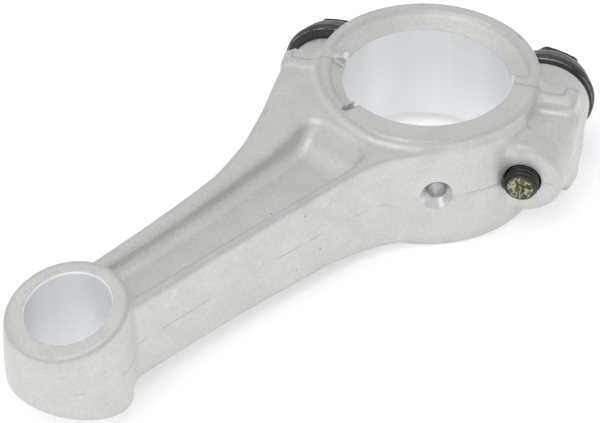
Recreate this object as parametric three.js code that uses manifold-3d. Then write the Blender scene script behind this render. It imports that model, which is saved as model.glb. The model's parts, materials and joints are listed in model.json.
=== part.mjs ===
// Connecting rod of a single-cylinder small engine, with an obliquely split big end.
// Modelled lying flat: the crankpin and wrist pin bores run along Z, and +X points from the
// small end to the big end. Lengths are in millimetres.
import * as THREE from 'three';
import * as BufferGeometryUtils from 'three/addons/utils/BufferGeometryUtils.js';
import Module from 'manifold-3d';

const wasm = await Module();
wasm.setup();

// Bores and their distance
const CENTRE_DISTANCE = 112;
const CRANKPIN_RADIUS = 19.5;
const WRIST_PIN_RADIUS = 9.5;
const BORE_CHAMFER = 0.8;

// Big end ring, shared by the rod and the cap
const RING_RADIUS = 26.2;
const RING_HALF_WIDTH = 15;
const POCKET_RADIUS = 23.6;
const POCKET_DEPTH = 1.6;
const POCKET_END_OFFSET = 3.6;

// Joint between rod and cap: its normal is turned this far from the rod's long axis
const JOINT_ANGLE = THREE.MathUtils.degToRad(32);
const JOINT_GAP = 0.3;
const TAB_HEIGHT = 2.8;
const TAB_WIDTH = 2.8;
const TAB_DRAFT = 0.8;

// Bolt bosses; S runs along the bolts from the joint, T across the joint
const BOLT_OFFSET = 25.8;
const LUG_HALF_WIDTH = 13.1;
const LUG_SIDE = 35.2;
const LUG_BULGE = 1.4;
const LUG_INNER = 14;
const LUG_EDGE_RADIUS = 2.5;
const FAR_FLANK_LENGTH = 19;
const NOSE_LENGTH = 15.2;
const NOSE_RADIUS = 9.2;
const NOSE_EDGE = 1;
const NOSE_DRAFT = 1.5;
const ROD_RIM = 2.8;
const CAP_RIM = 4.4;
const CAP_BOSS_RADIUS = 10.8;
const SEAT_HEIGHT = 14.5;

// Flange bolts
const BOLT_RADIUS = 4;
const BOLT_CLEARANCE = 0.3;
const HOLE_COUNTERSINK = 0.8;
const FLANGE_RADIUS = 11.4;
const FLANGE_THICKNESS = 2.8;
const FLANGE_TOP_RADIUS = 8.2;
const FLANGE_CONE_HEIGHT = 1.6;
const HEX_ACROSS_FLATS = 13;
const HEAD_HEIGHT = 10.6;
const TIP_PROTRUSION = 1.8;
const TIP_CHAMFER = 0.9;

// Small end, as wide as the big end beside the beam and thinner towards its tip
const SMALL_END_RADIUS = 13.5;
const SMALL_END_HALF_WIDTH = 12.1;
const SMALL_END_SLOPE = (RING_HALF_WIDTH - SMALL_END_HALF_WIDTH) / SMALL_END_RADIUS;

// H-section beam
const BEAM_FLANGE_WIDTH = 2.6;
const WEB_HALF_THICKNESS = 7;
const CHANNEL_START = -98.5;
const CHANNEL_END = -31;

// Oil hole in the wall of the big end
const OIL_HOLE_RADIUS = 1.9;
const OIL_SINK_RADIUS = 3.4;
const OIL_HOLE_ANGLE = THREE.MathUtils.degToRad(-131);
const OIL_HOLE_HEIGHT = 0.6;

// The rod's own face pocket stops here, seen from the crankpin's centre
const ROD_POCKET_END = 165;

// Segments of a full circle and of each curve, and a length that reaches past every cut
const ROUND_SEGMENTS = 72;
const CURVE_SEGMENTS = 10;
const BEYOND = 80;

// Turns a closed three.js geometry into a manifold solid.
function toSolid(geometry) {
  const bare = geometry.clone();
  bare.deleteAttribute('normal');
  bare.deleteAttribute('uv');
  const merged = BufferGeometryUtils.mergeVertices(bare, 1e-4);
  return new wasm.Manifold(new wasm.Mesh({
    numProp: 3,
    vertProperties: new Float32Array(merged.attributes.position.array),
    triVerts: new Uint32Array(merged.index.array),
  }));
}

// Turns a manifold solid back into a flat-shaded three.js geometry.
function toGeometry(solid) {
  const mesh = solid.getMesh();
  const geometry = new THREE.BufferGeometry();
  geometry.setAttribute('position', new THREE.BufferAttribute(new Float32Array(mesh.vertProperties), 3));
  geometry.setIndex(new THREE.BufferAttribute(new Uint32Array(mesh.triVerts), 1));
  geometry.computeVertexNormals();
  return geometry;
}

// A block between two corners.
function block(x0, x1, y0, y1, z0, z1) {
  const geometry = new THREE.BoxGeometry(x1 - x0, y1 - y0, z1 - z0);
  geometry.translate((x0 + x1) / 2, (y0 + y1) / 2, (z0 + z1) / 2);
  return geometry;
}

// A cylinder or cone on the Z axis.
function roundZ(lowRadius, highRadius, z0, z1) {
  const geometry = new THREE.CylinderGeometry(highRadius, lowRadius, z1 - z0, ROUND_SEGMENTS);
  geometry.rotateX(Math.PI / 2);
  geometry.translate(0, 0, (z0 + z1) / 2);
  return geometry;
}

// A turned shape along S from a closed list of [radius, s] pairs, on the bolt axis at t.
function turnedOnBolt(profile, t) {
  const points = profile.map(([radius, s]) => new THREE.Vector2(radius, s));
  const geometry = new THREE.LatheGeometry(points, ROUND_SEGMENTS / 2);
  geometry.rotateZ(-Math.PI / 2);
  geometry.translate(0, t, 0);
  return geometry;
}

// An outline pushed along Z from 0 to `depth`.
function extrude(shape, depth) {
  return new THREE.ExtrudeGeometry(shape, { depth, bevelEnabled: false, curveSegments: CURVE_SEGMENTS });
}

// A plan outline in X and Y, raised from z0 to z1.
function plate(shape, z0, z1) {
  const geometry = extrude(shape, z1 - z0);
  geometry.translate(0, 0, z0);
  return geometry;
}

// A side outline in X and Z, carried across Y.
function sideProfile(shape, halfWidth) {
  const geometry = extrude(shape, 2 * halfWidth);
  geometry.translate(0, 0, -halfWidth);
  geometry.rotateX(Math.PI / 2);
  return geometry;
}

// Turns a shape made in joint coordinates (X = S, Y = T) into the rod's own frame.
function fromJointFrame(geometry) {
  geometry.rotateZ(JOINT_ANGLE);
  return geometry;
}

// A point in plan given in joint coordinates.
function jointPoint(s, t) {
  return new THREE.Vector2(s, t).rotateAround(new THREE.Vector2(), JOINT_ANGLE);
}

// The half of space on the rod's side of the joint, with the two locating tabs.
function rodSideOfJoint() {
  const face = -JOINT_GAP / 2;
  let side = toSolid(block(-2 * BEYOND, face, -BEYOND, BEYOND, -BEYOND, BEYOND));
  for (const sign of [-1, 1]) {
    side = side.add(toSolid(tab(sign, 0)));
  }
  return side.rotate([0, 0, THREE.MathUtils.radToDeg(JOINT_ANGLE)]);
}

// The half of space on the cap's side of the joint, with notches that clear the tabs.
function capSideOfJoint() {
  let side = toSolid(block(JOINT_GAP / 2, BEYOND, -BEYOND, BEYOND, -BEYOND, BEYOND));
  for (const sign of [-1, 1]) {
    side = side.subtract(toSolid(tab(sign, JOINT_GAP)));
  }
  return side.rotate([0, 0, THREE.MathUtils.radToDeg(JOINT_ANGLE)]);
}

// One locating tab at the outer edge of a boss, as a drafted ridge through the full width.
function tab(sign, grow) {
  const inner = LUG_SIDE - TAB_WIDTH - grow;
  const top = TAB_HEIGHT - JOINT_GAP / 2 + grow;
  const outline = new THREE.Shape([
    new THREE.Vector2(-1, sign * (inner - TAB_DRAFT)),
    new THREE.Vector2(top, sign * inner),
    new THREE.Vector2(top, sign * BEYOND),
    new THREE.Vector2(-1, sign * BEYOND),
  ]);
  return plate(outline, -BEYOND, BEYOND);
}

// Plan outline of the beam, which widens into both bolt lugs; the far side flares first.
function beamOutline() {
  const shape = new THREE.Shape();
  shape.moveTo(-112, -9.6);
  shape.splineThru([
    new THREE.Vector2(-96, -8.9),
    new THREE.Vector2(-72, -9.4),
    new THREE.Vector2(-53, -10.4),
    new THREE.Vector2(-42, -11.4),
    new THREE.Vector2(-32, -13),
    new THREE.Vector2(-24.5, -16),
    new THREE.Vector2(-17, -21.2),
  ]);
  const flankTop = jointPoint(TAB_HEIGHT, LUG_SIDE);
  const flankFoot = jointPoint(-FAR_FLANK_LENGTH, LUG_SIDE);
  shape.lineTo(0, -20);
  shape.lineTo(0, 20);
  shape.lineTo(flankTop.x, flankTop.y);
  shape.lineTo(flankFoot.x, flankFoot.y);
  shape.splineThru([
    new THREE.Vector2(-44.5, 14.6),
    new THREE.Vector2(-55, 11.7),
    new THREE.Vector2(-72, 10),
    new THREE.Vector2(-96, 8.9),
    new THREE.Vector2(-112, 9.6),
  ]);
  shape.closePath();
  return shape;
}

// Side outline of the beam: deeper towards the big end.
function beamDepth() {
  const upper = [[-112, 10.4], [-72, 10.9], [-44, 11.6], [-30, 12.4], [-20, 13.1], [0, 13.1]];
  const lower = upper.map(([x, z]) => [x, -z]).reverse();
  return new THREE.Shape([...upper, ...lower].map(([x, z]) => new THREE.Vector2(x, z)));
}

// The recess between the beam's flanges; it widens into a rounded scoop before the big end.
function channel() {
  const shape = new THREE.Shape();
  shape.moveTo(CHANNEL_START, -4.4);
  shape.splineThru([
    new THREE.Vector2(-72, -9.4 + BEAM_FLANGE_WIDTH),
    new THREE.Vector2(-53, -10.4 + BEAM_FLANGE_WIDTH),
    new THREE.Vector2(-40, -9.2),
    new THREE.Vector2(-33, -8.6),
  ]);
  shape.quadraticCurveTo(CHANNEL_END, -7.4, CHANNEL_END + 0.6, -4.4);
  shape.quadraticCurveTo(-27.6, 3.2, -28.4, 7.8);
  shape.quadraticCurveTo(-29.2, 11, -33.5, 10.6);
  shape.splineThru([
    new THREE.Vector2(-42, 8.6),
    new THREE.Vector2(-55, 8),
    new THREE.Vector2(-72, 10 - BEAM_FLANGE_WIDTH),
    new THREE.Vector2(CHANNEL_START, 4.4),
  ]);
  shape.closePath();
  return shape;
}

// The small end before its bore: a round boss whose two faces close towards the tip.
function smallEnd() {
  const reach = SMALL_END_RADIUS + 1;
  const drop = SMALL_END_SLOPE * reach;
  const wedge = new THREE.Shape([
    new THREE.Vector2(-CENTRE_DISTANCE - reach, -SMALL_END_HALF_WIDTH + drop),
    new THREE.Vector2(-CENTRE_DISTANCE + reach, -SMALL_END_HALF_WIDTH - drop),
    new THREE.Vector2(-CENTRE_DISTANCE + reach, SMALL_END_HALF_WIDTH + drop),
    new THREE.Vector2(-CENTRE_DISTANCE - reach, SMALL_END_HALF_WIDTH - drop),
  ]);
  return toSolid(roundZ(SMALL_END_RADIUS, SMALL_END_RADIUS, -BEYOND, BEYOND))
    .translate([-CENTRE_DISTANCE, 0, 0])
    .intersect(toSolid(sideProfile(wedge, BEYOND)));
}

// Rounded rectangle in T and Z with a bulging outer side, carried along S from s0 to s1.
function lugBlock(s0, s1) {
  const r = LUG_EDGE_RADIUS;
  const t0 = LUG_INNER;
  const t1 = LUG_SIDE;
  const halfWidth = LUG_HALF_WIDTH;
  const shape = new THREE.Shape();
  shape.moveTo(t0, -halfWidth);
  shape.lineTo(t1 - r, -halfWidth);
  shape.quadraticCurveTo(t1, -halfWidth, t1, -halfWidth + r);
  shape.quadraticCurveTo(t1 + 2 * LUG_BULGE, 0, t1, halfWidth - r);
  shape.quadraticCurveTo(t1, halfWidth, t1 - r, halfWidth);
  shape.lineTo(t0, halfWidth);
  shape.closePath();
  const geometry = extrude(shape, s1 - s0);
  geometry.rotateX(Math.PI / 2);
  geometry.rotateZ(Math.PI / 2);
  geometry.translate(s0, 0, 0);
  return geometry;
}

// The lug with the free nose, where the bolt's tip comes out, behind a thin rim at the joint.
function noseLug() {
  const rim = lugBlock(-ROD_RIM, TAB_HEIGHT);
  rim.rotateX(Math.PI);
  const nose = turnedOnBolt([
    [0, -NOSE_LENGTH],
    [NOSE_RADIUS - NOSE_EDGE, -NOSE_LENGTH],
    [NOSE_RADIUS, -NOSE_LENGTH + NOSE_EDGE],
    [NOSE_RADIUS + NOSE_DRAFT, 0],
    [0, 0],
  ], -BOLT_OFFSET);
  const root = block(-NOSE_LENGTH + 3, 0, -BOLT_OFFSET, -LUG_INNER, -NOSE_RADIUS, NOSE_RADIUS);
  return toSolid(fromJointFrame(rim))
    .add(toSolid(fromJointFrame(nose)))
    .add(toSolid(fromJointFrame(root)));
}

// Clearance hole for one bolt through both pieces, opened out where the tip leaves.
function boltHole(sign) {
  const radius = BOLT_RADIUS + BOLT_CLEARANCE;
  return toSolid(fromJointFrame(turnedOnBolt([
    [0, -BEYOND],
    [radius + HOLE_COUNTERSINK + 6, -BEYOND],
    [radius + HOLE_COUNTERSINK + 6, -NOSE_LENGTH - 6],
    [radius + HOLE_COUNTERSINK, -NOSE_LENGTH],
    [radius, -NOSE_LENGTH + HOLE_COUNTERSINK],
    [radius, SEAT_HEIGHT + 1],
    [0, SEAT_HEIGHT + 1],
  ], sign * BOLT_OFFSET)));
}

// Blind bolt hole in the long lug, which is too long for the bolt to come out of.
function blindBoltHole() {
  const radius = BOLT_RADIUS + BOLT_CLEARANCE;
  return toSolid(fromJointFrame(turnedOnBolt([
    [0, -NOSE_LENGTH - TIP_PROTRUSION - 3.5],
    [radius, -NOSE_LENGTH - TIP_PROTRUSION - 1],
    [radius, SEAT_HEIGHT + 1],
    [0, SEAT_HEIGHT + 1],
  ], BOLT_OFFSET)));
}

// A bore along Z with a chamfer at each mouth. The mouths are at half width h on the bore's
// axis, and the two faces open from there by `slope` towards +X.
function bore(radius, x, h, slope = 0) {
  const wide = radius + BORE_CHAMFER + 1;
  const upper = roundZ(radius, wide, h - BORE_CHAMFER, h + 1);
  const lower = roundZ(wide, radius, -h - 1, -h + BORE_CHAMFER);
  upper.applyMatrix4(new THREE.Matrix4().makeShear(0, slope, 0, 0, 0, 0));
  lower.applyMatrix4(new THREE.Matrix4().makeShear(0, -slope, 0, 0, 0, 0));
  return toSolid(roundZ(radius, radius, -BEYOND, BEYOND))
    .add(toSolid(upper))
    .add(toSolid(lower))
    .translate([x, 0, 0]);
}

// Ring-shaped pockets in both faces of the big end, conical down to the bore.
function facePockets() {
  const profile = (sign) => [
    new THREE.Vector2(CRANKPIN_RADIUS - 2, sign * (RING_HALF_WIDTH + 1)),
    new THREE.Vector2(CRANKPIN_RADIUS - 2, sign * (RING_HALF_WIDTH - POCKET_DEPTH)),
    new THREE.Vector2(CRANKPIN_RADIUS, sign * (RING_HALF_WIDTH - POCKET_DEPTH)),
    new THREE.Vector2(POCKET_RADIUS, sign * (RING_HALF_WIDTH - 0.4)),
    new THREE.Vector2(POCKET_RADIUS, sign * (RING_HALF_WIDTH + 1)),
  ];
  const turned = [1, -1].map((sign) => {
    const points = profile(sign);
    const closed = sign < 0 ? [...points.reverse(), points[0]] : [...points, points[0]];
    const geometry = new THREE.LatheGeometry(closed, ROUND_SEGMENTS);
    geometry.rotateX(Math.PI / 2);
    return toSolid(geometry);
  });
  return turned[0].add(turned[1]);
}

// Everything between two angles about Z, seen from the big end's centre.
function sector(fromDegrees, toDegrees) {
  const shape = new THREE.Shape();
  shape.moveTo(0, 0);
  const from = THREE.MathUtils.degToRad(fromDegrees);
  const to = THREE.MathUtils.degToRad(toDegrees);
  shape.absarc(0, 0, BEYOND, from, to, false);
  shape.closePath();
  return toSolid(plate(shape, -BEYOND, BEYOND));
}

// The countersunk oil hole through the big end's wall.
function oilHole() {
  const outside = RING_RADIUS + 4;
  const sinkDepth = OIL_SINK_RADIUS - OIL_HOLE_RADIUS;
  const points = [
    [0, 10],
    [OIL_HOLE_RADIUS, 10],
    [OIL_HOLE_RADIUS, RING_RADIUS - sinkDepth],
    [OIL_SINK_RADIUS + 4, outside],
    [0, outside],
  ].map(([radius, along]) => new THREE.Vector2(radius, along));
  const geometry = new THREE.LatheGeometry(points, ROUND_SEGMENTS / 3);
  geometry.rotateZ(-Math.PI / 2);
  geometry.rotateZ(OIL_HOLE_ANGLE);
  geometry.translate(0, 0, OIL_HOLE_HEIGHT);
  return toSolid(geometry);
}

function bigEndRing() {
  return toSolid(roundZ(RING_RADIUS, RING_RADIUS, -RING_HALF_WIDTH, RING_HALF_WIDTH));
}

function rodBody() {
  const beam = toSolid(plate(beamOutline(), -BEYOND, BEYOND))
    .intersect(toSolid(sideProfile(beamDepth(), BEYOND)));
  const channels = toSolid(plate(channel(), WEB_HALF_THICKNESS, BEYOND))
    .add(toSolid(plate(channel(), -BEYOND, -WEB_HALF_THICKNESS)));
  const jointEnd = THREE.MathUtils.radToDeg(JOINT_ANGLE) + 90;
  return beam
    .subtract(channels)
    .add(bigEndRing())
    .add(noseLug())
    .add(smallEnd())
    .intersect(rodSideOfJoint())
    .subtract(facePockets().intersect(sector(jointEnd - 10, ROD_POCKET_END)))
    .subtract(bore(CRANKPIN_RADIUS, 0, RING_HALF_WIDTH))
    .subtract(bore(WRIST_PIN_RADIUS, -CENTRE_DISTANCE, SMALL_END_HALF_WIDTH, SMALL_END_SLOPE))
    .subtract(boltHole(-1))
    .subtract(blindBoltHole())
    .subtract(oilHole());
}

// One boss of the cap: a wide rim at the joint, round at the bolt's seat.
function capBoss(sign) {
  const rim = lugBlock(0, CAP_RIM);
  const towardsSeat = turnedOnBolt([
    [0, 0],
    [CAP_BOSS_RADIUS + 0.4, 0],
    [CAP_BOSS_RADIUS, SEAT_HEIGHT],
    [0, SEAT_HEIGHT],
  ], sign * BOLT_OFFSET);
  const web = block(0, SEAT_HEIGHT - 2, LUG_INNER, BOLT_OFFSET, 1 - CAP_BOSS_RADIUS, CAP_BOSS_RADIUS - 1);
  if (sign < 0) {
    rim.rotateX(Math.PI);
    web.rotateX(Math.PI);
  }
  return toSolid(fromJointFrame(rim))
    .add(toSolid(fromJointFrame(towardsSeat)))
    .add(toSolid(fromJointFrame(web)));
}

// Room for the flange of one bolt above its seat.
function seatCut(sign) {
  return toSolid(fromJointFrame(turnedOnBolt([
    [0, SEAT_HEIGHT],
    [FLANGE_RADIUS + JOINT_GAP, SEAT_HEIGHT],
    [FLANGE_RADIUS + JOINT_GAP, BEYOND],
    [0, BEYOND],
  ], sign * BOLT_OFFSET)));
}

function cap() {
  const jointDegrees = THREE.MathUtils.radToDeg(JOINT_ANGLE);
  const endAngle = THREE.MathUtils.radToDeg(Math.asin(POCKET_END_OFFSET / POCKET_RADIUS));
  return bigEndRing()
    .add(capBoss(1))
    .add(capBoss(-1))
    .intersect(capSideOfJoint())
    .subtract(facePockets().intersect(sector(jointDegrees - 90 + endAngle, jointDegrees + 90 - endAngle)))
    .subtract(bore(CRANKPIN_RADIUS, 0, RING_HALF_WIDTH))
    .subtract(boltHole(1))
    .subtract(boltHole(-1))
    .subtract(seatCut(1))
    .subtract(seatCut(-1));
}

// A hex flange bolt: shank with a chamfered tip, wide conical flange, hexagonal head.
function flangeBolt(sign) {
  const seat = SEAT_HEIGHT + JOINT_GAP;
  const tip = -NOSE_LENGTH - TIP_PROTRUSION;
  const turned = turnedOnBolt([
    [0, tip],
    [BOLT_RADIUS - TIP_CHAMFER, tip],
    [BOLT_RADIUS, tip + TIP_CHAMFER],
    [BOLT_RADIUS, seat],
    [FLANGE_RADIUS, seat],
    [FLANGE_RADIUS, seat + FLANGE_THICKNESS],
    [FLANGE_TOP_RADIUS, seat + FLANGE_THICKNESS + FLANGE_CONE_HEIGHT],
    [0, seat + FLANGE_THICKNESS + FLANGE_CONE_HEIGHT],
  ], sign * BOLT_OFFSET);
  const hexRadius = HEX_ACROSS_FLATS / Math.sqrt(3);
  const hex = new THREE.CylinderGeometry(hexRadius, hexRadius, HEAD_HEIGHT, 6);
  hex.rotateZ(-Math.PI / 2);
  hex.translate(seat + HEAD_HEIGHT / 2, sign * BOLT_OFFSET, 0);
  return toSolid(fromJointFrame(turned)).add(toSolid(fromJointFrame(hex)));
}

function castAluminium() {
  return new THREE.MeshStandardMaterial({ color: 0xc4c5c1, roughness: 0.55, metalness: 0.6 });
}

function blackOxide() {
  return new THREE.MeshStandardMaterial({ color: 0x232323, roughness: 0.45, metalness: 0.7 });
}

function addPiece(group, name, solid, material) {
  const mesh = new THREE.Mesh(toGeometry(solid), material);
  mesh.name = name;
  group.add(mesh);
}

const group = new THREE.Group();
addPiece(group, 'rod_body', rodBody(), castAluminium());
addPiece(group, 'bearing_cap', cap(), castAluminium());
addPiece(group, 'cap_bolt_left', flangeBolt(1), blackOxide());
addPiece(group, 'cap_bolt_right', flangeBolt(-1), blackOxide());

// The origin goes to the middle of the underside of the whole rod.
const box = new THREE.Box3().setFromObject(group);
group.position.set(-(box.min.x + box.max.x) / 2, -(box.min.y + box.max.y) / 2, -box.min.z);

export default group;
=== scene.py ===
"""Visual model of a die-cast aluminium connecting rod with an obliquely split big end.

The castings are signed distance fields on a grid, meshed with OpenVDB, so that every edge and
corner has the radius a die gives it. Bores, seats, holes and the joint are then cut exactly.
Shapes are worked out in millimetres from the crankpin's centre: X along the rod towards the big
end, Z along the bores, and, in the joint's own frame, S along the bolts and T across them.
"""
import functools
import json
import math
import types

import bmesh
import bpy
import numpy as np
import openvdb
from mathutils import Matrix, Vector


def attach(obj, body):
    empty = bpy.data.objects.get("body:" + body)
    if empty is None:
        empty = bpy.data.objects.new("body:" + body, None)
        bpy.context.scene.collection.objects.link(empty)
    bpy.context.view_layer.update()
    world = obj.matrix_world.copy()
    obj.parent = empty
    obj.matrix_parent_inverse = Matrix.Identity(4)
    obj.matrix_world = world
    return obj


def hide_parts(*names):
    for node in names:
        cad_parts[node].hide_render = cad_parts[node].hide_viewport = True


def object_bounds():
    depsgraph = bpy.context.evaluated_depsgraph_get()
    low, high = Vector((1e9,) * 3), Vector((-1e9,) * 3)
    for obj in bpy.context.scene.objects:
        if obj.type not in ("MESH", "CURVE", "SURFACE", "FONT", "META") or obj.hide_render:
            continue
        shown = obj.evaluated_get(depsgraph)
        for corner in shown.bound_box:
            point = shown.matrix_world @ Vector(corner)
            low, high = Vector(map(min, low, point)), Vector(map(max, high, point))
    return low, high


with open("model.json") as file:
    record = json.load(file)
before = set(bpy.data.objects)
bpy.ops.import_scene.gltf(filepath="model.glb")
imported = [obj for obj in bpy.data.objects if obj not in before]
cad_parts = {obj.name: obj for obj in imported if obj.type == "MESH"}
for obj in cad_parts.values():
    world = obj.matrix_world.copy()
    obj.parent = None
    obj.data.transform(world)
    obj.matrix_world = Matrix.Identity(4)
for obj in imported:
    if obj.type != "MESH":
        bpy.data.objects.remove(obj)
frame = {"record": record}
cad_low, cad_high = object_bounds()

# ---------------------------------------------------------------- sizes, in millimetres
MM = 0.001
VOXEL = 0.5
GRID_X = (-128.0, 40.0)
GRID_Y = (-41.0, 40.0)
GRID_HALF_HEIGHT = 16.5
FIELD_BAND = 3.0
CUTTER_REACH = 40.0

CENTRE_DISTANCE = 112.0
CRANKPIN_RADIUS = 19.5
WRIST_PIN_RADIUS = 9.5
BIG_END_CHAMFER = 0.8
SMALL_END_CHAMFER = 0.3

# Big end ring: outer radius by angle, fullest at the cap's crown and slimmest over the far flange
RING_RADII = [(-50, 26.3), (-10, 26.9), (40, 27.2), (80, 27.0), (110, 26.2), (125, 25.5), (143, 24.7),
              (160, 24.3), (180, 25.1), (199, 26.3), (310, 26.3)]
RING_LOWER_GROWTH = 0.6
RING_HALF_WIDTH = 15.0
RING_EDGE = 0.6

# Shallow pockets in the ring's faces, and the slot that ends the rod's one
POCKET_DEPTH = 1.9
POCKET_STEP = 0.8
POCKET_EDGE = 0.35
POCKET_FILLET = 0.4
CAP_POCKET_RADIUS = 23.6
ROD_POCKET_RADIUS = 22.4
CAP_POCKET_START = 3.6
ROD_POCKET_START = 1.0
ROD_POCKET_END = 167.0
SLOT_ANGLE = 170.3
SLOT_HALF_WIDTH = 0.8
SLOT_REACH = 24.0
SLOT_EDGE = 0.3

# Joint: from the tab foot out to either side, the rod's face stands up as a tab
JOINT_ANGLE = math.radians(32.0)
JOINT_GAP = 0.06
TAB_HEIGHT = 2.8
TAB_FOOT = 32.1
TAB_DRAFT = 0.3
HALF_PLAN_WIDTH = 100.0
HALF_PLAN_LENGTH = 160.0

# Lugs: the far one runs into the beam, the near one is free
BOLT_OFFSET = 25.8
LUG_TOP = 13.1
LUG_UNDERSIDE = 12.5
LUG_INSIDE = 14.0
FAR_LUG_SIDE = 34.0
FAR_CAP_LUG_SIDE = 33.2
FAR_CAP_LUG_BULGE = 0.4
NEAR_LUG_SIDE = 34.9
LUG_BULGE = 1.2
LUG_EDGE = 1.0
LUG_RIM_EDGE = 0.5
LUG_FILLET = 0.8
ROD_RIM = 2.8
ROD_RIM_OVERLAP = 3.5
CAP_RIM = 4.4
CAP_RIM_OVERLAP = 1.0
FAR_RIM = 2.0
FAR_RIM_OVERLAP = 3.0
FAR_FLANK_LENGTH = 19.0

# Nose that the near bolt runs through: square by the rim, round at its end
NOSE_LENGTH = 16.0
NOSE_RADIUS = 9.1
NOSE_DRAFT = 0.11
NOSE_EDGE = 1.3
NOSE_SQUARE_CORNER = 2.5
NOSE_ROUND_FROM = -10.0
ROOT_INSIDE = 12.0
ROOT_DROP = 0.2
ROOT_SETBACK = 1.5
ROOT_FILLET = 0.6

# Bosses under the bolt heads
SEAT_HEIGHT = 14.5
SEAT_STOCK = 1.0
FAR_BOSS_RADIUS = 9.4
NEAR_BOSS_RADIUS = 10.8
BOSS_WEB_INSET = 1.0
BOSS_FILLET = 1.5

# Small end: each face is given as its distance from the mid-plane on the pin's axis, and its slope
SMALL_END_RADIUS = 13.4
SMALL_END_BULGE = 0.8
SMALL_END_BULGE_HEIGHT = 13.0
SMALL_END_TOP = (12.1, 0.24)
SMALL_END_UNDERSIDE = (11.0, 0.35)
SMALL_END_EDGE = 0.9
SMALL_END_FILLET = 1.3

# Beam: half its depth by X, and the channels between its flanges
BEAM_HALF_DEPTHS = [(-118, 10.4), (-72, 10.9), (-44, 11.6), (-34, 12.5), (-26, 13.1)]
BEAM_OUTLINE_HEIGHT = 11.0
BEAM_EDGE = 1.1
WEB_HALF_THICKNESS = 7.0
CHANNEL_SLOPE = 0.22
CHANNEL_EDGE = 1.0
CHANNEL_FILLET = 2.2
SCOOP_START = -34.0

CAST_DRAFT = 0.02
CAST_FILLET = 1.6

BOLT_RADIUS = 4.0
BOLT_PITCH = 1.25
BOLT_CLEARANCE = 0.3
BOLT_SEGMENTS = 96
THREAD_DEPTH = 0.61 * BOLT_PITCH
THREAD_FLANK_SLOPE = 1.25
THREAD_END = 7.0
RINGS_PER_TURN = 12
TIP_CHAMFER = 0.9
TIP_FACE_EDGE = 0.1
TIP_PROTRUSION = 3.2
SEAT_GAP = 0.02
FLANGE_RADIUS = 11.6
HEAD_HEIGHT = 11.5
HEX_FOOT = 7.7
HEX_RINGS = 15
HEX_RING_CROWDING = 0.7
HEX_DISH_DEPTH = 0.45
HEX_ACROSS_FLATS = 13.8
HEX_CHAMFER_SLOPE = 2.4
HEX_CHAMFER_INSET = 0.25
HEX_CORNER_WEAR = 0.12
HEX_TURN = {1: 0.0, -1: math.radians(17.0)}

SPOT_FACE_RADIUS = FLANGE_RADIUS + 0.6
BLIND_HOLE_DEPTH = 18.0
DRILL_POINT = 2.5
NOSE_RELIEF = 0.3
NOSE_RELIEF_START = 0.2
PAST_NOSE = 30.0

# Oil hole: its 45-degree countersink has the sink radius at the sink reach from the axis
OIL_HOLE_START = 12.0
OIL_HOLE_RADIUS = 2.15
OIL_SINK_RADIUS = 3.5
OIL_SINK_REACH = 27.2
OIL_HOLE_ANGLE = math.radians(-131.0)
OIL_HOLE_HEIGHT = 0.6

# Material slots: a casting's first one is its skin, a bolt's first one its black finish
MACHINED, JOINT_FACE = 1, 2
# Bolt slots: black finish, bare end, painted shadow under the flange, and rubbed edges with a painted
# highlight.
BLACK, BARE, PAINTED_SHADE, WORN_AND_HIGHLIT = 0, 1, 2, 3
CASTING_SLOTS = 3
SHARP_ANGLE = math.radians(22.0)

# Camera, from the crankpin's centre, and the room in metres
CAMERA_TARGET = (-56.74, -14.86, 15.03)
CAMERA_DISTANCE = 701.0
CAMERA_AZIMUTH = math.radians(-135.50)
CAMERA_ELEVATION = math.radians(39.91)
CAMERA_ROLL = math.radians(0.37)
LIGHT_TARGET = Vector((0, 0, 0.01))
FLOOR_REACH = 3.0
FLOOR_GAP = 0.02 * MM
FLOOR_GLOW = 0.32
WORLD_GLOW = 0.8


def crankpin_centre():
    """The crankpin's centre in the row frame, in metres, from the record's opening."""
    openings = frame["record"]["physics"]["openings"]
    low, high = next(o["box_m"] for o in openings if o["name"] == "crankpin_bore")
    middle = [(a + b) / 2 for a, b in zip(low, high)]
    return Vector((middle[0], middle[1], (cad_low.z + cad_high.z) / 2))


CENTRE = crankpin_centre()
JOINT_TURN = Matrix.Rotation(JOINT_ANGLE, 4, "Z")


def joint_point(s, t):
    """Plan point (x, y) of a place in the joint's frame."""
    c, d = math.cos(JOINT_ANGLE), math.sin(JOINT_ANGLE)
    return (s * c - t * d, s * d + t * c)


# ---------------------------------------------------------------- distance fields
def round_and(a, b, r):
    """Where both fields are inside, with convex edges of radius r."""
    return np.minimum(-r, np.maximum(a, b)) + np.hypot(np.maximum(a + r, 0), np.maximum(b + r, 0))


def round_or(a, b, r):
    """Where either field is inside, with concave fillets of radius r."""
    return np.maximum(r, np.minimum(a, b)) - np.hypot(np.maximum(r - a, 0), np.maximum(r - b, 0))


def all_of(*fields):
    """Where every field is inside, with sharp edges."""
    return functools.reduce(np.maximum, fields)


def any_of(*fields):
    """Where at least one field is inside, with sharp corners."""
    return functools.reduce(np.minimum, fields)


def outline_distance(points, x, y):
    """Signed distance from each plan point to a closed outline, negative inside."""
    nearest = np.full(x.shape, 1e9, np.float32)
    inside = np.zeros(x.shape, bool)
    for (ax, ay), (bx, by) in zip(points, points[1:] + points[:1]):
        ex, ey = bx - ax, by - ay
        along = np.clip(((x - ax) * ex + (y - ay) * ey) / (ex * ex + ey * ey), 0, 1)
        nearest = np.minimum(nearest, np.hypot(x - ax - along * ex, y - ay - along * ey))
        crosses = ((ay > y) != (by > y)) & (x < ex * (y - ay) / (ey if ey else 1e-9) + ax)
        inside ^= crosses
    return np.where(inside, -nearest, nearest)


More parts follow.
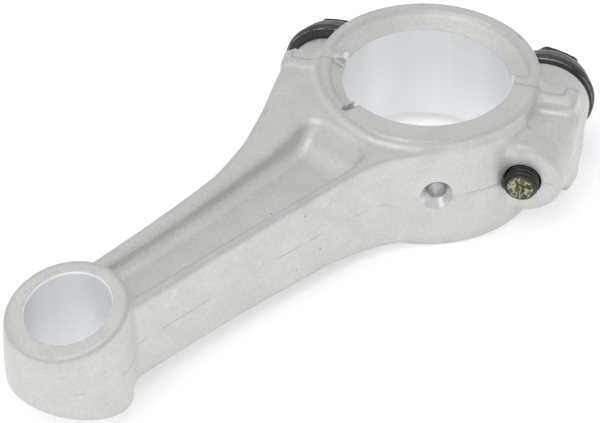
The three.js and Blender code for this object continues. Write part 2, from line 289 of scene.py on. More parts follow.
def curve_through(points, steps=10):
    """Catmull-Rom curve through plan points, as a list of points."""
    p = [np.array(q, float) for q in points]
    p = [2 * p[0] - p[1]] + p + [2 * p[-1] - p[-2]]
    out = []
    for a, b, c, d in zip(p, p[1:], p[2:], p[3:]):
        for i in range(steps):
            u = i / steps
            out.append(0.5 * (2 * b + (c - a) * u + (2 * a - 5 * b + 4 * c - d) * u**2
                              + (3 * b - a - 3 * c + d) * u**3))
    return [tuple(q) for q in out] + [tuple(p[-2])]


def beam_outline():
    """Plan outline of the beam at its upper edge, running out into the far bolt lug."""
    near = [(-109, -8.8), (-96, -8.8), (-72, -9.4), (-61, -9.9), (-53, -10.5), (-42, -11.2), (-32, -12.9),
            (-25, -15.8), (-17.5, -20.6), (-11, -24.6), (-6, -26.6), (0, -27.3), (5, -26.8)]
    lug = [joint_point(3, 0), joint_point(3, FAR_LUG_SIDE), joint_point(-4, FAR_LUG_SIDE),
           joint_point(-10, FAR_LUG_SIDE + 0.3)]
    far = [joint_point(-FAR_FLANK_LENGTH, FAR_LUG_SIDE + 0.8), (-44.5, 15.0), (-48.3, 13.7), (-55, 11.8),
           (-61, 10.8), (-77, 9.75), (-96, 9.1), (-109, 8.9)]
    return curve_through(near) + lug + curve_through(far)


def channel_outline():
    """Plan outline of the recess between the beam's flanges; its end by the ring ramps up inside it."""
    near = [(-108, -5.0), (-98, -5.2), (-84, -5.7), (-72, -6.1), (-53, -7.2), (-42, -8.0), (-35, -8.4)]
    scoop = [(-30.0, -7.9), (-28.3, -5.2), (-28.0, -1.6), (-28.2, 2.0), (-28.8, 5.4), (-31.0, 7.4)]
    far = [(-36, 7.0), (-42, 6.4), (-50, 6.0), (-58, 5.5), (-72, 4.9), (-84, 4.8), (-98, 4.9), (-108, 5.0)]
    return curve_through(near + scoop + far)


def grid_axes():
    """Sample places along X, Y and Z; Z has samples exactly on the two outer faces."""
    x = np.arange(*GRID_X, VOXEL, dtype=np.float32)
    y = np.arange(*GRID_Y, VOXEL, dtype=np.float32)
    z = np.arange(-GRID_HALF_HEIGHT, GRID_HALF_HEIGHT + VOXEL / 2, VOXEL, dtype=np.float32)
    return x, y, z


def sample_places(x, y, z):
    """The coordinates the fields are made of, at every sample: x, y, z, s, t and two distances."""
    x, y = np.meshgrid(x, y, indexing="ij")
    x, y, z = x[:, :, None], y[:, :, None], z[None, None, :]
    c, d = math.cos(JOINT_ANGLE), math.sin(JOINT_ANGLE)
    return types.SimpleNamespace(
        x=x,
        y=y,
        z=z,
        s=x * c + y * d,
        t=y * c - x * d,
        height=np.abs(z),
        from_centre=np.hypot(x, y),
    )


def beam_field(at):
    """The beam with its two channels."""
    half_depth = np.interp(at.x, *zip(*BEAM_HALF_DEPTHS))
    outline = outline_distance(beam_outline(), at.x, at.y)
    drafted = outline + CAST_DRAFT * (at.height - BEAM_OUTLINE_HEIGHT)
    beam = round_and(drafted, at.height - half_depth, BEAM_EDGE)
    above_web = at.height - WEB_HALF_THICKNESS
    wall = outline_distance(channel_outline(), at.x, at.y) - CHANNEL_SLOPE * above_web
    ramp_up = (at.x - SCOOP_START - above_web) / math.sqrt(2)
    channel = round_and(round_and(wall, ramp_up, CHANNEL_FILLET), -above_web, CHANNEL_FILLET)
    return round_and(beam, -channel, CHANNEL_EDGE)


def small_end_field(at):
    """The small end, closing towards its tip."""
    along = at.x + CENTRE_DISTANCE

    def past_face(side, centre, slope):
        """Distance past the face on one side of the mid-plane."""
        return (side * at.z - np.minimum(centre + slope * along, RING_HALF_WIDTH)) / math.hypot(1, slope)

    faces = np.maximum(past_face(1, *SMALL_END_TOP), past_face(-1, *SMALL_END_UNDERSIDE))
    radius = SMALL_END_RADIUS + SMALL_END_BULGE * (1 - (at.height / SMALL_END_BULGE_HEIGHT) ** 2)
    return round_and(np.hypot(along, at.y) - radius, faces, SMALL_END_EDGE)


def lug_rim(at, side, start, end, reach, bulge=LUG_BULGE):
    """A rim at the joint, from start to end along S; side is T, or -T, towards its bulging outer face."""
    past_side = side - (reach + bulge * (1 - (at.z / LUG_TOP) ** 2))
    section = round_and(past_side, np.maximum(at.z - LUG_TOP, -at.z - LUG_UNDERSIDE), LUG_EDGE)
    section = np.maximum(section, LUG_INSIDE - side)
    return round_and(section, np.maximum(start - at.s, at.s - end), LUG_RIM_EDGE)


def free_lug_field(at):
    """The near lug on the rod: nose, the root that ties the nose to the ring, and rim."""
    near = -at.t
    half_width = NOSE_RADIUS + NOSE_DRAFT * (at.s + NOSE_LENGTH)
    squareness = np.interp(at.s, [NOSE_ROUND_FROM, -ROD_RIM], [0, 1])
    corner = half_width + (NOSE_SQUARE_CORNER - half_width) * squareness
    nose = round_and(np.abs(near - BOLT_OFFSET) - half_width, at.height - half_width, corner)
    nose = round_and(np.maximum(nose, at.s), -NOSE_LENGTH - at.s, NOSE_EDGE)
    root = all_of(at.height - half_width + ROOT_DROP, near - BOLT_OFFSET,
                  ROOT_SETBACK - NOSE_LENGTH - at.s, at.s, ROOT_INSIDE - near)
    rim = lug_rim(at, near, -ROD_RIM, ROD_RIM_OVERLAP, NEAR_LUG_SIDE)
    return round_or(round_or(nose, root, ROOT_FILLET), rim, LUG_FILLET)


def cap_bosses_field(at):
    """The rims at both bolts and the bosses that the bolt heads are seated on."""
    near = -at.t
    bosses = any_of(
        lug_rim(at, at.t, -FAR_RIM, FAR_RIM_OVERLAP, FAR_LUG_SIDE, bulge=0.0),
        lug_rim(at, at.t, 0, CAP_RIM, FAR_CAP_LUG_SIDE, bulge=FAR_CAP_LUG_BULGE),
        lug_rim(at, near, -CAP_RIM_OVERLAP, CAP_RIM, NEAR_LUG_SIDE),
    )
    for side, radius in ((at.t, FAR_BOSS_RADIUS), (near, NEAR_BOSS_RADIUS)):
        off_axis = np.hypot(side - BOLT_OFFSET, at.z)
        barrel = np.maximum(off_axis - radius - CAST_DRAFT * (SEAT_HEIGHT - at.s), -at.s)
        web = all_of(at.height - radius + BOSS_WEB_INSET, side - BOLT_OFFSET, ROOT_INSIDE - side, -at.s)
        boss = np.maximum(np.minimum(barrel, web), at.s - SEAT_HEIGHT - SEAT_STOCK)
        bosses = round_or(bosses, boss, BOSS_FILLET)
    return bosses


def ring_field(at):
    """The big end's ring, a little fuller below the mid-plane."""
    angle = np.degrees(np.arctan2(at.y, at.x))
    radius = np.interp(angle, *zip(*RING_RADII), period=360) + RING_LOWER_GROWTH * (at.z < 0)
    past_side = at.from_centre - radius + CAST_DRAFT * (at.height - RING_HALF_WIDTH)
    return round_and(past_side, at.height - RING_HALF_WIDTH, RING_EDGE)


def past_radius(at, degrees):
    """Distance past a radius of the ring, counter-clockwise seen from above."""
    return at.y * math.cos(math.radians(degrees)) - at.x * math.sin(math.radians(degrees))


def pocket_field(at, plan, rim_radius):
    """A pocket in both faces of the ring, where plan is negative, conical down to the bore."""
    drop = POCKET_DEPTH * np.clip((rim_radius - at.from_centre) / (rim_radius - CRANKPIN_RADIUS), 0, 1)
    floor = RING_HALF_WIDTH - POCKET_STEP - drop - at.height
    return round_and(np.maximum(at.from_centre - rim_radius, plan), floor, POCKET_FILLET)


def slot_field(at):
    """The narrow slot in both faces of the ring, at the end of the rod's pocket."""
    side = np.maximum(np.abs(past_radius(at, SLOT_ANGLE)) - SLOT_HALF_WIDTH, at.from_centre - SLOT_REACH)
    return all_of(side, at.x, RING_HALF_WIDTH - POCKET_STEP - POCKET_DEPTH - at.height)


def casting_field(x, y, z):
    """Distance field of rod and cap together, as cast, before any machining."""
    at = sample_places(x, y, z)
    body = round_or(beam_field(at), small_end_field(at), SMALL_END_FILLET)
    for part in (free_lug_field, cap_bosses_field, ring_field):
        body = round_or(body, part(at), CAST_FILLET)
    cap_pocket = pocket_field(at, CAP_POCKET_START - at.s, CAP_POCKET_RADIUS)
    rod_plan = np.maximum(at.s - ROD_POCKET_START, past_radius(at, ROD_POCKET_END))
    rod_pocket = pocket_field(at, rod_plan, ROD_POCKET_RADIUS)
    body = round_and(body, -cap_pocket, POCKET_EDGE)
    body = round_and(body, -rod_pocket, POCKET_EDGE)
    body = round_and(body, -slot_field(at), SLOT_EDGE)
    return body.astype(np.float32)


# ---------------------------------------------------------------- meshes
def mesh_from_field(name, field, axes):
    """Closed mesh of the zero surface, in millimetres from the crankpin's centre."""
    grid = openvdb.FloatGrid(background=FIELD_BAND)
    grid.copyFromArray(np.clip(field, -FIELD_BAND, FIELD_BAND))
    points, quads = grid.convertToQuads(isovalue=0.0)
    points = points * VOXEL + np.array([a[0] for a in axes])
    mesh = bpy.data.meshes.new(name)
    mesh.from_pydata(points.tolist(), [], quads[:, ::-1].tolist())
    mesh.update()
    return mesh


def mesh_from_faces(name, bm):
    """A mesh of a bmesh, which is freed."""
    mesh = bpy.data.meshes.new(name)
    bm.to_mesh(mesh)
    bm.free()
    return mesh


def ring_surface(rings, segments):
    """Closed surface through rings about Z, each (z, radius or radius by angle, slot of the band below it).

    The first and last ring have radius 0, which makes them a point.
    """
    bm = bmesh.new()
    angles = [2 * math.pi * i / segments for i in range(segments)]
    made = []
    for along, radius, _ in rings:
        if radius == 0:
            made.append([bm.verts.new((0, 0, along))])
            continue
        reach = radius if callable(radius) else lambda angle, fixed=radius: fixed
        made.append([bm.verts.new((reach(a) * math.cos(a), reach(a) * math.sin(a), along)) for a in angles])
    for low, high, (_, _, slot) in zip(made, made[1:], rings[1:]):
        for i in range(segments):
            j = (i + 1) % segments
            corner_shade = [low[i % len(low)], low[j % len(low)], high[j % len(high)], high[i % len(high)]]
            bm.faces.new(list(dict.fromkeys(corner_shade))).material_index = slot
    bmesh.ops.recalc_face_normals(bm, faces=bm.faces)
    return bm


def make_object(name, data):
    """A new object in the scene."""
    piece = bpy.data.objects.new(name, data)
    bpy.context.scene.collection.objects.link(piece)
    return piece


def discard(piece):
    """Removes an object and its mesh."""
    mesh = piece.data
    bpy.data.objects.remove(piece)
    bpy.data.meshes.remove(mesh)


def add_empty_slots(piece):
    """Material slots for a boolean to keep apart; their materials come last."""
    for _ in range(CASTING_SLOTS):
        piece.data.materials.append(None)


# ---------------------------------------------------------------- exact cutters
def cutter_object(bm, turn):
    """A cutter of a closed bmesh, turned into place."""
    bmesh.ops.transform(bm, matrix=turn, verts=bm.verts)
    cutter = make_object("cutter", mesh_from_faces("cutter", bm))
    add_empty_slots(cutter)
    return cutter


def lathe(profile, turn=Matrix.Identity(4), slot=MACHINED, segments=192):
    """A cutter turned about local Z from (radius, z) pairs that start and end on the axis."""
    rings = [(along, radius, slot) for radius, along in profile]
    return cutter_object(ring_surface(rings, segments), turn)


def prism(points, turn):
    """A cutter raised right through the casting from a plan outline; what it cuts is a joint face."""
    bm = bmesh.new()
    base = bm.faces.new([bm.verts.new((x, y, -CUTTER_REACH)) for x, y in points])
    raised = bmesh.ops.extrude_face_region(bm, geom=[base])["geom"]
    upper = [v for v in raised if isinstance(v, bmesh.types.BMVert)]
    bmesh.ops.translate(bm, vec=(0, 0, 2 * CUTTER_REACH), verts=upper)
    for face in bm.faces:
        face.material_index = JOINT_FACE
    bmesh.ops.recalc_face_normals(bm, faces=bm.faces)
    return cutter_object(bm, turn)


def apply_boolean(piece, cutter, operation):
    """Cuts a piece, or keeps what a cutter holds of it, and discards the cutter."""
    change = piece.modifiers.new("cut", "BOOLEAN")
    change.object = cutter
    change.operation = operation
    change.solver = "MANIFOLD"
    depsgraph = bpy.context.evaluated_depsgraph_get()
    result = bpy.data.meshes.new_from_object(piece.evaluated_get(depsgraph))
    piece.modifiers.clear()
    old = piece.data
    piece.data = result
    bpy.data.meshes.remove(old)
    discard(cutter)


def bore_cutter(radius, x, chamfer, top, underside):
    """A bore along Z with chamfered mouths on faces given as (distance, slope along X)."""
    past = 2
    wide = radius + chamfer + past
    (high, high_slope), (low, low_slope) = top, underside
    cutter = lathe([(0, -CUTTER_REACH), (wide, -CUTTER_REACH), (wide, -low - past), (radius, -low + chamfer),
                    (radius, high - chamfer), (wide, high + past), (wide, CUTTER_REACH), (0, CUTTER_REACH)])
    for vertex in cutter.data.vertices:
        if abs(vertex.co.z) < CUTTER_REACH:
            vertex.co.z += vertex.co.x * (high_slope if vertex.co.z > 0 else -low_slope)
        vertex.co.x += x
    return cutter


def on_bolt(sign):
    """Puts local Z on a bolt's axis, pointing from the rod to the bolt's head."""
    return JOINT_TURN @ Matrix.Translation((0, sign * BOLT_OFFSET, 0)) @ Matrix.Rotation(math.pi / 2, 4, "Y")


def bolt_cutter(sign):
    """Spot face and clearance hole, blind in the far lug and relieved where it leaves the near nose."""
    radius = BOLT_RADIUS + BOLT_CLEARANCE
    relief = radius + NOSE_RELIEF
    blind_end = [(0, -BLIND_HOLE_DEPTH - DRILL_POINT), (radius, -BLIND_HOLE_DEPTH)]
    open_end = [(0, -PAST_NOSE), (relief, -PAST_NOSE), (relief, -NOSE_LENGTH - NOSE_RELIEF_START),
                (radius, -NOSE_LENGTH + NOSE_RELIEF)]
    spot_face = [(radius, SEAT_HEIGHT), (SPOT_FACE_RADIUS, SEAT_HEIGHT), (SPOT_FACE_RADIUS, CUTTER_REACH),
                 (0, CUTTER_REACH)]
    return lathe((blind_end if sign > 0 else open_end) + spot_face, on_bolt(sign), segments=96)


def oil_cutter():
    """Oil hole through the big end's wall with its countersink."""
    past = 5
    sink_start = OIL_SINK_REACH - OIL_SINK_RADIUS + OIL_HOLE_RADIUS
    profile = [(0, OIL_HOLE_START), (OIL_HOLE_RADIUS, OIL_HOLE_START), (OIL_HOLE_RADIUS, sink_start),
               (OIL_SINK_RADIUS + past, OIL_SINK_REACH + past), (0, OIL_SINK_REACH + past)]
    turn = Matrix.Translation((0, 0, OIL_HOLE_HEIGHT)) @ Matrix.Rotation(OIL_HOLE_ANGLE, 4, "Z")
    return lathe(profile, turn @ Matrix.Rotation(math.pi / 2, 4, "Y"), JOINT_FACE, 64)


def joint_outline(side):
    """Plan of the cap's half (side 1) or the rod's half (side -1), with the rod's tabs at the lugs."""
    gap = side * JOINT_GAP / 2
    top, foot = TAB_HEIGHT + gap, TAB_FOOT - gap
    near = [(gap, -foot), (top, -foot - TAB_DRAFT), (top, -HALF_PLAN_WIDTH)]
    far = [(s, -t) for s, t in reversed(near)]
    end = side * HALF_PLAN_LENGTH
    return far + near + [(end, -HALF_PLAN_WIDTH), (end, HALF_PLAN_WIDTH)]


def machine(casting):
    """Cuts everything the castings get after the die."""
    ring_faces = (RING_HALF_WIDTH, 0), (RING_HALF_WIDTH, 0)
    small_end_faces = SMALL_END_TOP, SMALL_END_UNDERSIDE
    cutters = [
        bore_cutter(CRANKPIN_RADIUS, 0, BIG_END_CHAMFER, *ring_faces),
        bore_cutter(WRIST_PIN_RADIUS, -CENTRE_DISTANCE, SMALL_END_CHAMFER, *small_end_faces),
        bolt_cutter(1),
        bolt_cutter(-1),
        oil_cutter(),
    ]
    for cutter in cutters:
        apply_boolean(casting, cutter, "DIFFERENCE")


def castings():
    """The rod and the cap, cut from one machined casting."""
    axes = grid_axes()
    whole = make_object("casting", mesh_from_field("casting", casting_field(*axes), axes))
    add_empty_slots(whole)
    machine(whole)
    halves = []
    for name, side in (("rod_casting", -1), ("cap_casting", 1)):
        half = make_object(name, whole.data.copy())
        apply_boolean(half, prism(joint_outline(side), JOINT_TURN), "INTERSECT")
        halves.append(half)
    discard(whole)
    return halves


# ---------------------------------------------------------------- bolts
def thread_radius(along, tip):
    """Radius by angle of the screw thread at one height, run out towards the plain shank."""
    fade = min(1.0, max(0.0, (THREAD_END - along) / BOLT_PITCH))

    def radius(angle):
        phase = (along / BOLT_PITCH - angle / (2 * math.pi)) % 1
        groove = max(0.0, 1 - abs(2 * phase - 1) * THREAD_FLANK_SLOPE)
        return min(BOLT_RADIUS - THREAD_DEPTH * groove * fade, BOLT_RADIUS - TIP_CHAMFER + (along - tip))

    return radius


def hex_radius(along, top, turn):
    """Radius by angle of the hexagonal head, its corners chamfered by a flat cone."""
    half = HEX_ACROSS_FLATS / 2
    cone = half - HEX_CHAMFER_INSET + (top - along) * HEX_CHAMFER_SLOPE

    def radius(angle):
        flat = half / math.cos((angle - turn + math.pi / 6) % (math.pi / 3) - math.pi / 6)
        return min(flat, cone, 2 * half / math.sqrt(3) - HEX_CORNER_WEAR)

    return radius


def tip_rings(tip):
    """The bolt's bare end, dished in the middle."""
    steps = [(0.9, 0), (0.8, 0.4), (0.15, 1.2), (0, 1.5), (0, 2.7), (TIP_FACE_EDGE, 3.0)]
    return [(tip + above, radius, BARE) for above, radius in steps]


def thread_rings(tip):
    """The rolled thread."""
    start = tip + TIP_FACE_EDGE
    count = round((THREAD_END - tip) / BOLT_PITCH * RINGS_PER_TURN)
    heights = [start + (THREAD_END - start) * i / count for i in range(count + 1)]
    return [(along, thread_radius(along, tip), BLACK) for along in heights]


def flange_rings(seat):
    """The fillet under the head and the flange, its edges rubbed and painted lighter as a highlight, and its
    upper side coned.
    """
    steps = [
        (-0.9, BOLT_RADIUS, BLACK),
        (-0.3, BOLT_RADIUS + 0.08, BLACK),
        (0, BOLT_RADIUS + 0.25, BLACK),
        # The flange's underside takes the painted shadow slot.
        (0, 9.7, PAINTED_SHADE),
        (0.12, 10.1, PAINTED_SHADE),
        (1.2, FLANGE_RADIUS - 0.45, PAINTED_SHADE),
        # Lighter bands at the flange's edges: rubbed wear and painted highlight.
        (1.5, FLANGE_RADIUS - 0.2, WORN_AND_HIGHLIT),
        (1.8, FLANGE_RADIUS, BLACK),
        (2.9, FLANGE_RADIUS, BLACK),
        (3.2, FLANGE_RADIUS - 0.15, WORN_AND_HIGHLIT),
        (3.5, FLANGE_RADIUS - 0.5, BLACK),
        (5.2, FLANGE_RADIUS - 1.0, BLACK),
        (6.8, 9.9, BLACK),
        (7.4, 9.2, BLACK),
        (7.6, 8.2, BLACK),
    ]
    return [(seat + above, radius, slot) for above, radius, slot in steps]


def hexagon_rings(seat, turn):
    """The hexagon, its rings crowded towards the chamfer, closed by the shallow dish in its top."""
    foot, top = seat + HEX_FOOT, seat + HEAD_HEIGHT
    shares = [(i / (HEX_RINGS - 1)) ** HEX_RING_CROWDING for i in range(HEX_RINGS)]
    heights = [foot + (top - foot) * share for share in shares]
    dish = [(0, 5.6), (0.35, 5.2), (HEX_DISH_DEPTH, 4.4), (HEX_DISH_DEPTH, 0)]
    hexagon = [(along, hex_radius(along, top, turn), BLACK) for along in heights]
    return hexagon + [(top - below, radius, BLACK) for below, radius in dish]


def flange_bolt(name, sign):
    """A hex flange bolt with a rolled thread, on its own axis."""
    tip = -NOSE_LENGTH - TIP_PROTRUSION
    seat = SEAT_HEIGHT + SEAT_GAP
    rings = tip_rings(tip) + thread_rings(tip) + flange_rings(seat) + hexagon_rings(seat, HEX_TURN[sign])
    bolt = make_object(name, mesh_from_faces(name, ring_surface(rings, BOLT_SEGMENTS)))
    bolt.data.transform(on_bolt(sign))
    return bolt


# ---------------------------------------------------------------- material nodes
def material(name):
    """A procedural material to fill in, its node tree and its shader."""
    made = bpy.data.materials.new(name)
    made.use_nodes = True
    return made, made.node_tree, made.node_tree.nodes["Principled BSDF"]


def noise(tree, scale, detail, stretch=(1, 1, 1)):
    """A noise texture in object space; scale is cells per metre."""
    where = tree.nodes.new("ShaderNodeTexCoord")
    mapping = tree.nodes.new("ShaderNodeMapping")
    mapping.inputs["Scale"].default_value = stretch
    tree.links.new(where.outputs["Object"], mapping.inputs["Vector"])
    texture = tree.nodes.new("ShaderNodeTexNoise")
    texture.inputs["Scale"].default_value = scale
    texture.inputs["Detail"].default_value = detail
    tree.links.new(mapping.outputs["Vector"], texture.inputs["Vector"])
    return texture.outputs["Fac"]


def ramp(tree, value, stops):
    """Colours by value; stops are (value, grey or colour)."""
    node = tree.nodes.new("ShaderNodeValToRGB")
    node.color_ramp.elements[0].position = stops[0][0]
    node.color_ramp.elements[1].position = stops[-1][0]
    for position, _ in stops[1:-1]:
        node.color_ramp.elements.new(position)
    for element, (_, colour) in zip(node.color_ramp.elements, stops):
        rgb = (colour,) * 3 if isinstance(colour, (int, float)) else colour
        element.color = (*rgb, 1)
    tree.links.new(value, node.inputs["Fac"])
    return node.outputs["Color"]


def clouds(tree, scale, detail, low, high, stretch=(1, 1, 1)):
    """Noise as soft patches between two greys or colours."""
    return ramp(tree, noise(tree, scale, detail, stretch), [(0.3, low), (0.7, high)])


def pointiness(tree, stops):
    """Colours by how sharp an edge is: under 0.5 in a corner, over it on an edge."""
    geometry = tree.nodes.new("ShaderNodeNewGeometry")
    return ramp(tree, geometry.outputs["Pointiness"], stops)


def multiply(tree, a, b):
    """One colour darkened by another."""
    node = tree.nodes.new("ShaderNodeMix")
    node.data_type = "RGBA"
    node.blend_type = "MULTIPLY"
    node.inputs["Factor"].default_value = 1.0
    tree.links.new(a, node.inputs["A"])
    tree.links.new(b, node.inputs["B"])
    return node.outputs["Result"]


def bump(tree, height, strength, distance, before=None):
    """A bumped normal, on top of an earlier one if given; distance is in metres."""
    node = tree.nodes.new("ShaderNodeBump")
    node.inputs["Strength"].default_value = strength
    node.inputs["Distance"].default_value = distance
    tree.links.new(height, node.inputs["Height"])
    if before:
        tree.links.new(before, node.inputs["Normal"])
    return node.outputs["Normal"]


def math_node(tree, operation, value, other):
    """A value combined with a number or with another value."""
    node = tree.nodes.new("ShaderNodeMath")
    node.operation = operation
    tree.links.new(value, node.inputs[0])
    if isinstance(other, bpy.types.NodeSocket):
        tree.links.new(other, node.inputs[1])
    else:
        node.inputs[1].default_value = other
    return node.outputs["Value"]


def parting_line(tree):
    """The seam the die leaves at mid-height, as a darkening that comes and goes."""
    where = tree.nodes.new("ShaderNodeTexCoord")
    split = tree.nodes.new("ShaderNodeSeparateXYZ")
    tree.links.new(where.outputs["Object"], split.inputs["Vector"])
    distance = math_node(tree, "SUBTRACT", split.outputs["Z"], CENTRE.z)
    distance = math_node(tree, "ABSOLUTE", distance, 0)
    distance = math_node(tree, "MULTIPLY", distance, 1 / MM)
    broken = ramp(tree, noise(tree, 90, 2), [(0.45, 0.0), (0.55, 0.6)])
    return ramp(tree, math_node(tree, "ADD", distance, broken), [(0.1, 0.80), (0.3, 1.0)])


# ---------------------------------------------------------------- materials
def cast_aluminium():
    """Die-cast skin: fine grain, soft mottling, a parting line, a few pores and painted shade in its
    corners.
    """
    made, tree, shader = material("cast_aluminium")
    mottle = clouds(tree, 130, 4, (0.68, 0.68, 0.65), (0.73, 0.73, 0.70))
    grain = clouds(tree, 1500, 2, 0.90, 1.0)
    pores = ramp(tree, noise(tree, 420, 1), [(0.17, 0.55), (0.24, 1.0)])
    # Painted shade: concave corners darkened by pointiness, in place of real occlusion.
    corner_shade = pointiness(tree, [(0.44, 0.78), (0.495, 0.93), (0.53, 1.0)])
    colour = multiply(tree, multiply(tree, mottle, grain), pores)
    colour = multiply(tree, multiply(tree, colour, parting_line(tree)), corner_shade)
    tree.links.new(colour, shader.inputs["Base Color"])
    tree.links.new(clouds(tree, 300, 3, 0.46, 0.60), shader.inputs["Roughness"])
    shader.inputs["Metallic"].default_value = 0.75
    coarse = bump(tree, noise(tree, 260, 3), 0.35, 0.00012)
    fine = bump(tree, noise(tree, 1800, 2), 0.35, 0.00004, coarse)
    tree.links.new(fine, shader.inputs["Normal"])
    return made


def machined_aluminium():
    """Bored and faced surfaces: bright, with fine streaks along Z."""
    made, tree, shader = material("machined_aluminium")
    streaks = clouds(tree, 180, 2, (0.83, 0.85, 0.862), (0.885, 0.90, 0.908), stretch=(1, 1, 0.03))
    tree.links.new(streaks, shader.inputs["Base Color"])
    tree.links.new(clouds(tree, 900, 2, 0.42, 0.52, stretch=(1, 1, 0.1)), shader.inputs["Roughness"])
    shader.inputs["Metallic"].default_value = 0.7
    tool_marks = bump(tree, noise(tree, 2500, 1, stretch=(0.05, 0.05, 1)), 0.15, 0.00002)
    tree.links.new(tool_marks, shader.inputs["Normal"])
    return made


def milled_aluminium():
    """Joint faces, left by a face mill."""
    made, tree, shader = material("milled_aluminium")
    tree.links.new(clouds(tree, 900, 2, 0.60, 0.74, stretch=(1, 1, 0.08)), shader.inputs["Base Color"])
    tree.links.new(clouds(tree, 500, 2, 0.3, 0.42), shader.inputs["Roughness"])
    shader.inputs["Metallic"].default_value = 1.0
    return made


def black_oxide():
    """Blackened steel, lighter along its edges from rubbing and from a painted highlight."""
    made, tree, shader = material("black_oxide_steel")
    # Painted highlight and rub wear: sharp edges made lighter by pointiness.
    edges_worn_and_highlit = pointiness(tree, [(0.5, (0.045, 0.045, 0.045)), (0.53, (0.07, 0.07, 0.068)),
                             (0.6, (0.24, 0.23, 0.22))])
    tree.links.new(multiply(tree, edges_worn_and_highlit, clouds(tree, 500, 3, 0.75, 1.0)), shader.inputs["Base Color"])
    tree.links.new(clouds(tree, 700, 3, 0.34, 0.5), shader.inputs["Roughness"])
    shader.inputs["Metallic"].default_value = 0.9
    tree.links.new(bump(tree, noise(tree, 2200, 2), 0.2, 0.00003), shader.inputs["Normal"])
    return made


def bare_steel():
    """The bolt's sheared end, with a yellowish plating left on it."""
    made, tree, shader = material("bolt_end_steel")
    plating = ramp(tree, noise(tree, 480, 3), [(0.38, (0.07, 0.07, 0.045)), (0.46, (0.16, 0.155, 0.09)),
                                               (0.5, (0.52, 0.50, 0.36)), (0.55, (0.12, 0.118, 0.07))])
    tree.links.new(plating, shader.inputs["Base Color"])
    tree.links.new(clouds(tree, 700, 3, 0.22, 0.4), shader.inputs["Roughness"])
    shader.inputs["Metallic"].default_value = 1.0
    tree.links.new(bump(tree, noise(tree, 1200, 2), 0.5, 0.00015), shader.inputs["Normal"])
    return made


def painted_shade_black():
    """Painted shadow on the underside of the flange: near black and matt."""
    made, tree, shader = material("flange_underside_painted_shade")
    tree.links.new(clouds(tree, 600, 3, 0.008, 0.02), shader.inputs["Base Color"])
    tree.links.new(clouds(tree, 900, 2, 0.5, 0.65), shader.inputs["Roughness"])
    return made


def worn_and_highlit_edge():
    """Edges rubbed through the black finish in broken patches, lighter also as a painted highlight."""
    made, tree, shader = material("worn_and_highlit_edge_steel")
    patches = ramp(tree, noise(tree, 450, 3), [(0.42, 0.05), (0.55, 0.2)])
    tree.links.new(patches, shader.inputs["Base Color"])
    tree.links.new(clouds(tree, 900, 2, 0.3, 0.45), shader.inputs["Roughness"])
    shader.inputs["Metallic"].default_value = 1.0
    return made


def floor_paint():
    """White paint that glows a little, for soft light from below."""
    made, tree, shader = material("floor_paint")
    tree.links.new(clouds(tree, 3, 2, 0.90, 0.92), shader.inputs["Base Color"])
    shader.inputs["Roughness"].default_value = 0.9
    shader.inputs["Emission Color"].default_value = (1, 1, 1, 1)
    shader.inputs["Emission Strength"].default_value = FLOOR_GLOW
    return made


# ---------------------------------------------------------------- studio
def area_light(name, location, power, size):
    """A square lamp in metres and watts, turned to the rod."""
    data = bpy.data.lights.new(name, "AREA")
    data.energy = power
    data.size = size
    lamp = make_object(name, data)
    lamp.location = location
    lamp.rotation_euler = (LIGHT_TARGET - Vector(location)).to_track_quat("-Z", "Y").to_euler()


def camera():
    """A long lens looking down on the rod from beside its small end."""
    across = Vector((math.cos(CAMERA_AZIMUTH), math.sin(CAMERA_AZIMUTH), 0))
    back = math.cos(CAMERA_ELEVATION) * across + Vector((0, 0, math.sin(CAMERA_ELEVATION)))
    right = Vector((-math.sin(CAMERA_AZIMUTH), math.cos(CAMERA_AZIMUTH), 0))
    up = back.cross(right)
    rolled_right = math.cos(CAMERA_ROLL) * right + math.sin(CAMERA_ROLL) * up
    rolled_up = math.cos(CAMERA_ROLL) * up - math.sin(CAMERA_ROLL) * right
    data = bpy.data.cameras.new("camera")
    data.sensor_width = 36
    data.lens = 192
    data.clip_end = 20
    eye = make_object("camera", data)
    axes = Matrix((rolled_right, rolled_up, back)).transposed().to_4x4()
    target = CENTRE + Vector(CAMERA_TARGET) * MM
    eye.matrix_world = Matrix.Translation(target + back * CAMERA_DISTANCE * MM) @ axes
    bpy.context.scene.camera = eye


def white_floor():
    """The sheet the rod is laid on."""
    reach = FLOOR_REACH
    data = bpy.data.meshes.new("floor")
    data.from_pydata([(-reach, -reach, 0), (reach, -reach, 0), (reach, reach, 0), (-reach, reach, 0)], [],
                     [(0, 1, 2, 3)])
    floor = make_object("floor", data)
    floor.location.z = cad_low.z - FLOOR_GAP
    floor.data.materials.append(floor_paint())


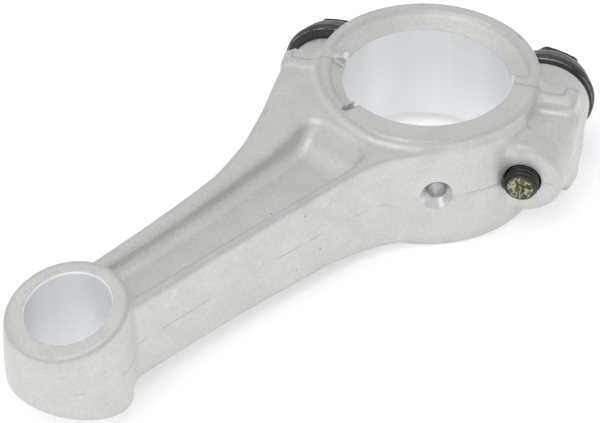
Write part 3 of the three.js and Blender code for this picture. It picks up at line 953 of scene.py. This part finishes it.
def studio():
    """A white room with two soft lamps overhead."""
    bpy.context.scene.view_settings.view_transform = "Standard"
    world = bpy.data.worlds.new("world")
    bpy.context.scene.world = world
    world.use_nodes = True
    background = world.node_tree.nodes["Background"]
    background.inputs["Color"].default_value = (0.985, 0.99, 1.0, 1)
    background.inputs["Strength"].default_value = WORLD_GLOW
    area_light("key", (-0.8, -0.1, 1.2), power=2.2, size=0.7)
    area_light("top", (-0.3, 0.2, 1.4), power=2.0, size=0.9)
    white_floor()


# ---------------------------------------------------------------- assembly
def shade(mesh):
    """Smooth shading, except where a face outside the first slot meets another at an angle."""
    for polygon in mesh.polygons:
        polygon.use_smooth = True
    bm = bmesh.new()
    bm.from_mesh(mesh)
    for edge in bm.edges:
        if len(edge.link_faces) == 2:
            a, b = edge.link_faces
            cut = a.material_index or b.material_index
            edge.smooth = not (cut and edge.calc_face_angle(0) > SHARP_ANGLE)
    bm.to_mesh(mesh)
    bm.free()


def place(piece):
    """From millimetres about the crankpin's centre to the row frame in metres."""
    piece.data.transform(Matrix.Translation(CENTRE) @ Matrix.Diagonal((MM, MM, MM, 1)))


def dress(piece, materials, body, node):
    """Gives a finished piece its materials and its place in the frame."""
    mesh = piece.data
    slots = np.zeros(len(mesh.polygons), np.int32)
    mesh.polygons.foreach_get("material_index", slots)
    mesh.materials.clear()
    for made in materials:
        mesh.materials.append(made)
    mesh.polygons.foreach_set("material_index", slots)
    shade(mesh)
    place(piece)
    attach(piece, body)
    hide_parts(node)


def main():
    """Builds the four pieces and the room."""
    rod, cap = castings()
    aluminium = [cast_aluminium(), machined_aluminium(), milled_aluminium()]
    dress(rod, aluminium, "rod", "rod_body")
    dress(cap, aluminium, "cap", "bearing_cap")
    steel = [black_oxide(), bare_steel(), painted_shade_black(), worn_and_highlit_edge()]
    dress(flange_bolt("left_flange_bolt", 1), steel, "bolt_left", "cap_bolt_left")
    dress(flange_bolt("right_flange_bolt", -1), steel, "bolt_right", "cap_bolt_right")
    studio()
    camera()


main()
